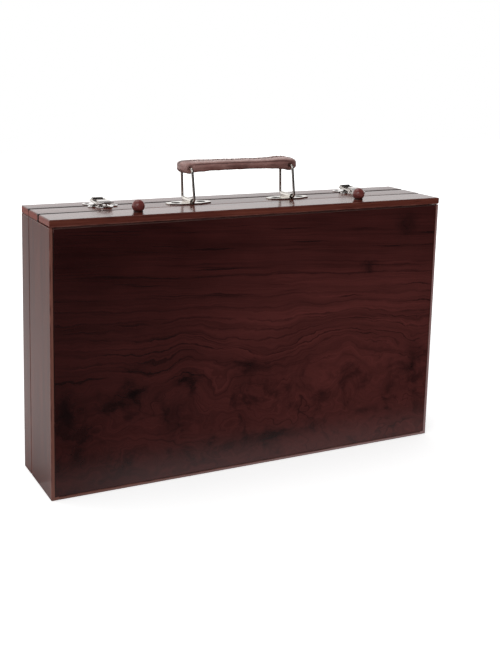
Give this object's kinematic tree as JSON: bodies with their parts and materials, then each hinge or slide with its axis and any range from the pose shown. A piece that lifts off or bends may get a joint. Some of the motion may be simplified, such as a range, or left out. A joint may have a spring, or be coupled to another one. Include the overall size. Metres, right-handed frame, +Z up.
{
  "type": "art box",
  "caption": "Flat wooden carrying case standing on its hinge side, with hinged lid, pull-out drawer with ball knobs, draw latches on the rim and a folding padded handle.",
  "frame": {"origin": "middle of the face that the case stands on, its hinge side", "axes": "+X along the length, +Y from the drawer side to the lid, +Z up to the side with the handle"},
  "size_m": [0.38, 0.08, 0.2733],
  "materials": {
    "stained_board": "gloss lacquer over red-brown stain",
    "figured_panel": "gloss lacquer over dark figured veneer",
    "inner_wood": "satin stain",
    "knob_wood": "gloss lacquer",
    "leatherette": "stitched, slightly shiny",
    "nickel": "nickel plated",
    "steel": "plain",
    "brass": "plain"
  },
  "bodies": {
    "case": {"latch_rail": "stained_board", "case_hinge_board": "stained_board", "base_panel": "figured_panel", "tray_floor": "inner_wood", "tray_long_divider": "inner_wood", "tray_short_dividers": "inner_wood", "case_left_side": "stained_board", "case_right_side": "stained_board", "handle_plate_left": "nickel", "handle_plate_right": "nickel", "handle_screws": "nickel", "latch_base_left": "nickel", "latch_base_right": "nickel", "latch_base_screws": "nickel", "latch_pin_left": "nickel", "latch_pin_right": "nickel", "hinge_left_case_leaf": "brass", "hinge_right_case_leaf": "brass", "hinge_left_pin": "brass", "hinge_right_pin": "brass", "hinge_case_screws": "brass"},
    "lid": {"lid_latch_rail": "stained_board", "lid_hinge_board": "stained_board", "lid_panel": "figured_panel", "lid_left_side": "stained_board", "lid_right_side": "stained_board", "keeper_left": "nickel", "keeper_right": "nickel", "keeper_screws": "nickel", "hinge_left_lid_leaf": "brass", "hinge_right_lid_leaf": "brass", "hinge_lid_screws": "brass"},
    "drawer": {"drawer_front": "stained_board", "drawer_back": "inner_wood", "drawer_bottom": "inner_wood", "drawer_left_side": "inner_wood", "drawer_right_side": "inner_wood", "drawer_long_divider": "inner_wood", "drawer_short_dividers": "inner_wood", "knob_left": "knob_wood", "knob_right": "knob_wood", "knob_screws": "nickel"},
    "bail_left": {"bail_left": "nickel"},
    "bail_right": {"bail_right": "nickel"},
    "grip": {"grip_core": "steel", "grip_cover": "leatherette"},
    "latch_left_lever": {"latch_lever_left": "nickel"},
    "latch_left_loop": {"latch_loop_left": "nickel", "latch_sleeve_left": "nickel"},
    "latch_right_lever": {"latch_lever_right": "nickel"},
    "latch_right_loop": {"latch_loop_right": "nickel", "latch_sleeve_right": "nickel"}
  },
  "joints": [
    {"name": "lid_hinge", "type": "hinge", "parent": "case", "child": "lid", "pos_m": [0, 0.018, 0.002], "axis": [-1, 0, 0], "range_deg": [0, 98]},
    {"name": "drawer_slide", "type": "slide", "parent": "case", "child": "drawer", "axis": [0, 0, 1], "range_m": [0, 0.17]},
    {"name": "handle_fold", "type": "hinge", "parent": "case", "child": "bail_left", "pos_m": [-0.05, 0.0045, 0.2378], "axis": [0, 1, 0], "range_deg": [-71, 79]},
    {"name": "grip_pivot", "type": "hinge", "parent": "bail_left", "child": "grip", "pos_m": [-0.05199, 0.0045, 0.26623], "axis": [0, 1, 0], "range_deg": [-79, 71]},
    {"name": "right_bail_fold", "type": "hinge", "parent": "case", "child": "bail_right", "pos_m": [0.05, 0.0045, 0.2378], "axis": [0, 1, 0], "range_deg": [-71, 79]},
    {"name": "latch_left_lift", "type": "hinge", "parent": "case", "child": "latch_left_lever", "pos_m": [-0.127, 0.0128, 0.238], "axis": [-1, 0, 0], "range_deg": [0, 105]},
    {"name": "latch_left_loop_swing", "type": "hinge", "parent": "latch_left_lever", "child": "latch_left_loop", "pos_m": [-0.127, 0.0078, 0.238], "axis": [-1, 0, 0], "range_deg": [-121, 0]},
    {"name": "latch_right_lift", "type": "hinge", "parent": "case", "child": "latch_right_lever", "pos_m": [0.127, 0.0128, 0.238], "axis": [-1, 0, 0], "range_deg": [0, 105]},
    {"name": "latch_right_loop_swing", "type": "hinge", "parent": "latch_right_lever", "child": "latch_right_loop", "pos_m": [0.127, 0.0078, 0.238], "axis": [-1, 0, 0], "range_deg": [-121, 0]}
  ],
  "couplings": [
    {"joint": "grip_pivot", "follows": "handle_fold", "ratio": -1},
    {"joint": "right_bail_fold", "follows": "handle_fold", "ratio": 1},
    {"joint": "latch_left_loop_swing", "follows": "latch_left_lift", "ratio": -1.15},
    {"joint": "latch_right_loop_swing", "follows": "latch_right_lift", "ratio": -1.15}
  ]
}
